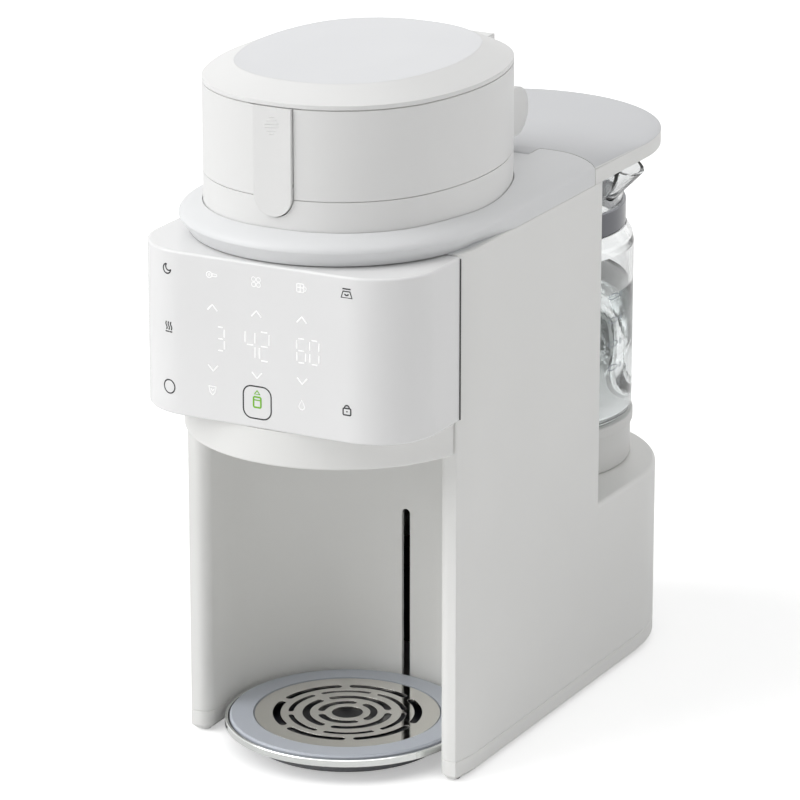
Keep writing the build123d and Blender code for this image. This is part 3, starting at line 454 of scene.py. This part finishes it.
def beads(strokes):
    """One mesh of flat beads from strokes (points, width in mm, closed)."""
    curve = bpy.data.curves.new("strokes", "CURVE")
    curve.dimensions = "3D"
    curve.bevel_depth = 0.5 * MM
    curve.bevel_resolution = 1
    curve.use_fill_caps = True
    for points, width, closed in strokes:
        spline = curve.splines.new("POLY")
        spline.points.add(len(points) - 1)
        spline.use_cyclic_u = closed
        for point, (right, up) in zip(spline.points, points):
            point.co = (right * MM, 0, up * MM, 1)
            point.radius = width
    drawing = bpy.data.objects.new("strokes", curve)
    scene.collection.objects.link(drawing)
    bpy.context.view_layer.update()
    mesh = bpy.data.meshes.new_from_object(drawing.evaluated_get(bpy.context.evaluated_depsgraph_get()))
    bpy.data.objects.remove(drawing)
    bpy.data.curves.remove(curve)
    return mesh


def laid(name, strokes, surface, material, body):
    """Lays strokes on a surface and makes them ride on a body."""
    mesh = beads(strokes)
    for vertex in mesh.vertices:
        vertex.co = surface(vertex.co.x, vertex.co.z, -vertex.co.y * FLATTEN)
    return placed(name, mesh, material, body)


def placed(name, mesh, material, body):
    """Turns a mesh's faces outward, gives it a finish and makes it ride on a body."""
    shape = bmesh.new()
    shape.from_mesh(mesh)
    bmesh.ops.recalc_face_normals(shape, faces=shape.faces)
    shape.to_mesh(mesh)
    shape.free()
    mesh.materials.clear()
    mesh.materials.append(material)
    mesh.name = name
    piece = bpy.data.objects.new(name, mesh)
    scene.collection.objects.link(piece)
    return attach(piece, body)


print("drawing tools ready")

# %% [markdown]
# ## The touch panel
# The panel is flat in the middle and turns away at both ends with a radius of 36 mm. Some keys are
# printed in dark ink. The rest are lit from behind through thin white plastic: three numbers with an
# up and a down key each, and small pictures of what they set. Heights are measured from the table.

# %% The panel's surface and its three kinds of mark
FLAT_HALF = 52.5 * MM
CORNER_R = 36 * MM
PROUD = 0.04 * MM    # how far the marks stand off the skin
GLOW_PATCH = 4 * MM
UNEVEN = 0.2


def on_panel(right, up, lift):
    """A place on the panel's skin, right of the middle plane."""
    past = max(0.0, abs(right) - FLAT_HALF)
    back = CORNER_R - math.sqrt(CORNER_R ** 2 - past ** 2)
    return Vector((MID_X + right, PANEL_FRONT + back - lift - PROUD, up))


def glowing(name, colour, strength):
    """A thin diffusing window lit from behind, a little uneven across its width."""
    material, shader, tree, coords = finish_named(name, colour, 0.4)
    shader.inputs["Emission Color"].default_value = linear(colour)
    uneven = put(tree, "ShaderNodeTexNoise", {"Vector": coords}, Scale=1 / GLOW_PATCH, Detail=1.0)
    amount = put(tree, "ShaderNodeMapRange", {"Value": uneven.outputs["Fac"]},
                 To_Min=(1 - UNEVEN) * strength, To_Max=(1 + UNEVEN) * strength)
    tree.links.new(amount.outputs["Result"], shader.inputs["Emission Strength"])
    return material


dark_ink = moulded("dark_grey_screen_ink", "1B1C1E", "212224", 0.5, grain_mm=0.3, depth_mm=0.002,
                   patch_mm=5, edge_mm=0.05)
white_glow = glowing("white_lit_window", "FFFFFF", 0.22)
green_glow = glowing("green_lit_window", "6DB300", 0.15)
ink, light, green = [], [], []
print("marks wait in three lists")

# %% Numbers made of seven segments
SEGMENTS = {"0": "abcdef", "2": "abged", "3": "abgcd", "4": "fgbc", "6": "afgedc"}
BAR_WIDTH = 0.7
BAR_SPACE = 1.1


def digit(character, left, foot, width, height):
    """The lit segments of one digit, each a short bar with a space at both ends."""
    half = height / 2
    right, top = left + width, foot + height
    bars = {"a": ((left, top), (right, top)), "b": ((right, foot + half), (right, top)),
            "c": ((right, foot), (right, foot + half)), "d": ((left, foot), (right, foot)),
            "e": ((left, foot), (left, foot + half)), "f": ((left, foot + half), (left, top)),
            "g": ((left, foot + half), (right, foot + half))}
    for segment in SEGMENTS[character]:
        start, end = Vector(bars[segment][0]), Vector(bars[segment][1])
        step = (end - start).normalized() * BAR_SPACE
        light.append(([tuple(start + step), tuple(end - step)], BAR_WIDTH, False))


digit("3", -29.4, 258.6, 5.0, 13.5)
digit("4", -11.2, 256.5, 6.2, 16.5)
digit("2", -2.3, 256.5, 6.2, 16.5)
digit("6", 21.2, 259.0, 5.6, 13.7)
digit("0", 29.4, 259.0, 5.6, 13.7)
print("lit bars:", len(light))

# %% Up and down keys
KEY_HALF = 3.1
KEY_RISE = 1.7

for x, top, low in ((-31.8, 282.7, 247.8), (-4.0, 283.0, 247.6), (24.4, 283.6, 248.6)):
    for y, rise in ((top, KEY_RISE), (low, -KEY_RISE)):
        light.append(([(x - KEY_HALF, y - rise), (x, y + rise), (x + KEY_HALF, y - rise)], 0.8, False))
print("with chevrons:", len(light))

# %% Pictures of powder, heat and water, lit white
for spot in ((-5.5, 299.6), (-2.5, 299.6), (-5.5, 302.6), (-2.5, 302.6)):
    light.append((circle(spot, 1.3), 0.4, True))
light.append((circle((-33.6, 301.3), 1.7), 0.5, True))
light.append((circle((-33.6, 301.3), 0.5), 0.4, True))
light.append(([(-31.6, 302.2), (-29.0, 301.9), (-28.6, 301.2), (-29.2, 300.6), (-31.6, 300.6)], 0.5, True))
light.append((rounded((23.6, 301.6), 2.2, 2.4, 0.8), 0.5, True))
light.append(([(21.5, 301.8), (25.7, 301.8)], 0.4, False))
light.append(([(23.6, 299.3), (23.6, 303.9)], 0.4, False))
light.append((arc((25.9, 301.4), 1.4, 75, -75), 0.5, False))
light.append(([(-34.6, 237.2), (-30.0, 237.2), (-30.8, 233.6), (-32.3, 232.2), (-33.8, 233.6)], 0.55, True))
light.append(([(-33.4, 235.9), (-32.3, 234.6), (-31.2, 235.9)], 0.5, False))
light.append((arc((24.1, 233.9), 1.75, 150, 390) + [(24.1, 237.8)], 0.45, True))
print("with pictures:", len(light))

# %% The chosen programme, a green bottle in a dark frame
ink.append((rounded((-4.0, 232.0), 8.8, 9.3, 5.2), 0.9, True))
green.append((rounded((-4.0, 232.2), 2.3, 3.0, 0.8), 1.1, True))
green.append(([(-6.0, 233.4), (-2.0, 233.4)], 0.8, False))
green.append(([(-5.7, 236.8), (-4.0, 238.9), (-2.3, 236.8)], 1.1, True))
print("green strokes:", len(green))

# %% Night, steam, power, scale and lock keys, printed dark
outer = arc((-61.1, 300.8), 2.75, 95, 355, 24)
inner = arc((-59.9, 302.0), 2.1, 317, 133, 12)
ink.append((outer + inner[1:-1], 0.9, True))
for x in (-62.1, -60.4, -58.7):
    wave = [(x + 0.45 * math.sin(2 * math.pi * i / 12), 265.7 + 4.6 * i / 12) for i in range(13)]
    ink.append((wave, 0.9, False))
ink.append(([(-62.8, 264.6), (-58.0, 264.6)], 0.9, False))
ink.append((circle((-60.6, 232.7), 3.9), 0.9, True))
ink.append(([(48.9, 300.0), (50.1, 303.6), (54.3, 303.6), (55.5, 300.0)], 0.9, True))
ink.append(([(49.7, 305.0), (54.7, 305.0)], 0.9, False))
ink.append((arc((52.2, 302.6), 1.2, 200, 340), 0.9, False))
ink.append((rounded((52.2, 235.3), 2.35, 1.9, 0.6), 0.9, True))
ink.append((arc((52.2, 237.5), 1.4, 0, 180), 0.9, False))
ink.append(([(52.2, 235.0), (52.2, 235.7)], 0.9, False))
print("printed strokes:", len(ink))

# %% Lay the marks on the panel
panel_marks = [laid("panel_ink", ink, on_panel, dark_ink, "housing"),
               laid("panel_lights", light, on_panel, white_glow, "housing"),
               laid("panel_ready_light", green, on_panel, green_glow, "housing")]
print("panel faces:", [len(piece.data.polygons) for piece in panel_marks])

# %% [markdown]
# ## The line beside the panel
# A narrow dark grey strip fills the gap between the panel's shell and the walls behind it: painted shadow,
#  standing for the shade in that groove. It stands a little out of the gap, inside the outline of the
#  walls, and draws a fine dark line down both sides.

# %% Strips of painted shadow behind the panel's ends
SHADOW_STRIP_X = (88.0 * MM, 89.2 * MM)
SHADOW_STRIP_DEPTH = 0.5 * MM
SHADOW_STRIP_INSET = 1.0 * MM
panel_low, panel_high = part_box("control_panel")
SHADOW_STRIP_Y = (panel_high.y, panel_high.y + SHADOW_STRIP_DEPTH)

shadow_strip_shape = bmesh.new()
for side in (-1, 1):
    xs = [MID_X + side * x for x in SHADOW_STRIP_X]
    zs = (panel_low.z + SHADOW_STRIP_INSET, panel_high.z - SHADOW_STRIP_INSET)
    made = bmesh.ops.create_cube(shadow_strip_shape, size=1.0)["verts"]
    for vertex in made:
        vertex.co = (xs[vertex.co.x > 0], SHADOW_STRIP_Y[vertex.co.y > 0], zs[vertex.co.z > 0])
shadow_strip_mesh = bpy.data.meshes.new("panel_gap_shadow_strips")
shadow_strip_shape.to_mesh(shadow_strip_mesh)
shadow_strip_shape.free()
# The strips' dark grey is painted shadow for the groove beside the panel.
gap_shadow_grey = moulded("painted_gap_shadow_grey", "4C4C4B", "525251", 0.6, patch_mm=20, edge_mm=0.1)
placed("panel_gap_shadow_strips", shadow_strip_mesh, gap_shadow_grey, "housing")
print("panel back", round(SHADOW_STRIP_Y[0], 4), "seal faces:", len(shadow_strip_mesh.polygons))

# %% [markdown]
# ## Copies in a row
# The kettle's measuring marks are one drawing repeated down the glass. A small Geometry Nodes tree
# does the repeating: a line of points, a copy on each, and the copies made real.

# %% Geometry Nodes tree for a row of copies


def row_tree():
    """Tree with the inputs Geometry, Count, Step and Finish."""
    tree = bpy.data.node_groups.new("row_of_copies", "GeometryNodeTree")
    for label, kind in (("Geometry", "NodeSocketGeometry"), ("Count", "NodeSocketInt"),
                        ("Step", "NodeSocketVector"), ("Finish", "NodeSocketMaterial")):
        tree.interface.new_socket(label, in_out="INPUT", socket_type=kind)
    tree.interface.new_socket("Geometry", in_out="OUTPUT", socket_type="NodeSocketGeometry")
    given = tree.nodes.new("NodeGroupInput").outputs
    line = put(tree, "GeometryNodeMeshLine", {"Count": given["Count"], "Offset": given["Step"]},
               mode="OFFSET")
    copies = put(tree, "GeometryNodeInstanceOnPoints", {"Points": line.outputs[0],
                                                        "Instance": given["Geometry"]})
    real = put(tree, "GeometryNodeRealizeInstances", {"Geometry": copies.outputs[0]})
    painted = put(tree, "GeometryNodeSetMaterial", {"Geometry": real.outputs[0],
                                                    "Material": given["Finish"]})
    tree.links.new(painted.outputs[0], tree.nodes.new("NodeGroupOutput").inputs["Geometry"])
    return tree


def in_a_row(mesh, tree, count, step, material):
    """Runs the tree on a mesh and returns the copies as one plain mesh."""
    source = bpy.data.objects.new("row_source", mesh)
    scene.collection.objects.link(source)
    row = source.modifiers.new("row", "NODES")
    row.node_group = tree
    socket = {s.name: s.identifier for s in tree.interface.items_tree if s.in_out == "INPUT"}
    row[socket["Count"]] = count
    row[socket["Step"]] = step
    row[socket["Finish"]] = material
    bpy.context.view_layer.update()
    made = bpy.data.meshes.new_from_object(source.evaluated_get(bpy.context.evaluated_depsgraph_get()))
    source.modifiers.remove(row)
    bpy.data.objects.remove(source)
    return made


row_of_copies = row_tree()
print("tree nodes:", len(row_of_copies.nodes))

# %% Measuring marks on the kettle
GLASS_R = 70.5 * MM
MARK_TOP = 224.0
MARK_STEP = -14.8
MARK_COUNT = 4
MARK_WIDTH = 0.7


def on_glass(right, up, lift):
    """A place on the kettle's wall, below the beak: right of it is towards the back."""
    angle = right / GLASS_R
    reach = GLASS_R + lift
    return Vector((KETTLE.x + reach * math.cos(angle), KETTLE.y + reach * math.sin(angle), up))


mark = beads([(circle((-10.0, MARK_TOP), 5.0, 0.32), MARK_WIDTH, True),
              (circle((-1.6, MARK_TOP), 1.3), MARK_WIDTH, True)])
for vertex in mark.vertices:
    vertex.co = on_glass(vertex.co.x, vertex.co.z, -vertex.co.y * FLATTEN)
enamel = moulded("grey_glass_enamel", "99A0A9", "A1A8B0", 0.35, grain_mm=0.3, depth_mm=0.002,
                 patch_mm=4, edge_mm=0.05)
ladder = in_a_row(mark, row_of_copies, MARK_COUNT, (0.0, 0.0, MARK_STEP * MM), enamel)
placed("kettle_marks", ladder, enamel, "kettle")
print("mark faces:", len(ladder.polygons))

# %% Water in the kettle
WATER_R = 68.2
WATER_TOP = 224.2
WATER_FOOT = 145.9
STEEP = 0.5
TURNS = 96


def lathe(name, profile):
    """A closed mesh turned about the kettle's axis, from points (radius, height) in mm."""
    shape = bmesh.new()
    rings = []
    for radius, height in profile:
        if radius == 0:
            rings.append([shape.verts.new((KETTLE.x, KETTLE.y, height * MM))])
            continue
        around = [2 * math.pi * i / TURNS for i in range(TURNS)]
        rings.append([shape.verts.new((KETTLE.x + radius * MM * math.cos(a),
                                       KETTLE.y + radius * MM * math.sin(a), height * MM)) for a in around])
    for lower, upper in zip(rings, rings[1:]):
        for i in range(TURNS):
            j = (i + 1) % TURNS
            corners = [lower[i % len(lower)], lower[j % len(lower)],
                       upper[j % len(upper)], upper[i % len(upper)]]
            shape.faces.new(list(dict.fromkeys(corners)))
    mesh = bpy.data.meshes.new(name)
    shape.to_mesh(mesh)
    shape.free()
    return mesh


water_profile = [(0, WATER_FOOT), (66.4, WATER_FOOT), (WATER_R, 147.9), (WATER_R, WATER_TOP + 1.0),
                 (WATER_R - 0.7, WATER_TOP + 0.3), (WATER_R - 2.2, WATER_TOP), (0, WATER_TOP)]
water = placed("kettle_water", lathe("kettle_water", water_profile), still_water, "kettle")
for face in water.data.polygons:
    face.use_smooth = abs(face.normal.z) < STEEP
print("water faces:", len(water.data.polygons))

# %% [markdown]
# ## The latch lever's grip
# Six low slanting ribs in the outline of a diamond give the thumb a hold on the lever.

# %% Ribs on the lever
RIB_PITCH = 1.9
RIB_CENTRE = 387.0
RIB_SLANT = 0.12
RIB_WIDTH = 0.8
RIB_RAISE = 3    # how much higher a rib stands than a printed bead
RIB_HALVES = (1.4, 2.9, 4.3, 4.3, 2.9, 1.4)


def on_lever(right, up, lift):
    """A place on the lever's flat front."""
    return Vector((MID_X + right, LEVER_FRONT - RIB_RAISE * lift, up))


ribs = []
for row, half in enumerate(RIB_HALVES):
    height = RIB_CENTRE + ((len(RIB_HALVES) - 1) / 2 - row) * RIB_PITCH
    ribs.append(([(-half, height - RIB_SLANT * half), (half, height + RIB_SLANT * half)], RIB_WIDTH, False))
grip = laid("latch_grip_ribs", ribs, on_lever, waxy_white, "latch")
print("ribs:", len(ribs))

# %% [markdown]
# ## Floor
# A plain pale floor catches the appliance's soft shadow. It gives off some light, but to the camera
# alone, so that it reads as white paper and doesn't light the object.

# %% Floor
HALF_FLOOR = 6.0
PAPER_LIFT = 0.40
floor_mesh = bpy.data.meshes.new("floor")
corners = [(-HALF_FLOOR, -HALF_FLOOR, 0), (HALF_FLOOR, -HALF_FLOOR, 0), (HALF_FLOOR, HALF_FLOOR, 0),
           (-HALF_FLOOR, HALF_FLOOR, 0)]
floor_mesh.from_pydata(corners, [], [(0, 1, 2, 3)])
floor = bpy.data.objects.new("floor", floor_mesh)
scene.collection.objects.link(floor)
paper, paper_shader, paper_tree, _ = finish_named("matte_white_paper", "F3F3F3", 0.95)
paper_shader.inputs["Emission Color"].default_value = (1.0, 1.0, 1.0, 1.0)
to_camera = put(paper_tree, "ShaderNodeLightPath").outputs["Is Camera Ray"]
paper_lift = put(paper_tree, "ShaderNodeMapRange", {"Value": to_camera}, To_Max=PAPER_LIFT)
paper_tree.links.new(paper_lift.outputs["Result"], paper_shader.inputs["Emission Strength"])
floor_mesh.materials.append(paper)
floor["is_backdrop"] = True
print("floor", 2 * HALF_FLOOR, "m square")

# %% Sizes, and the end
low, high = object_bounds()
print("visual size", tuple(round(v, 4) for v in high - low))
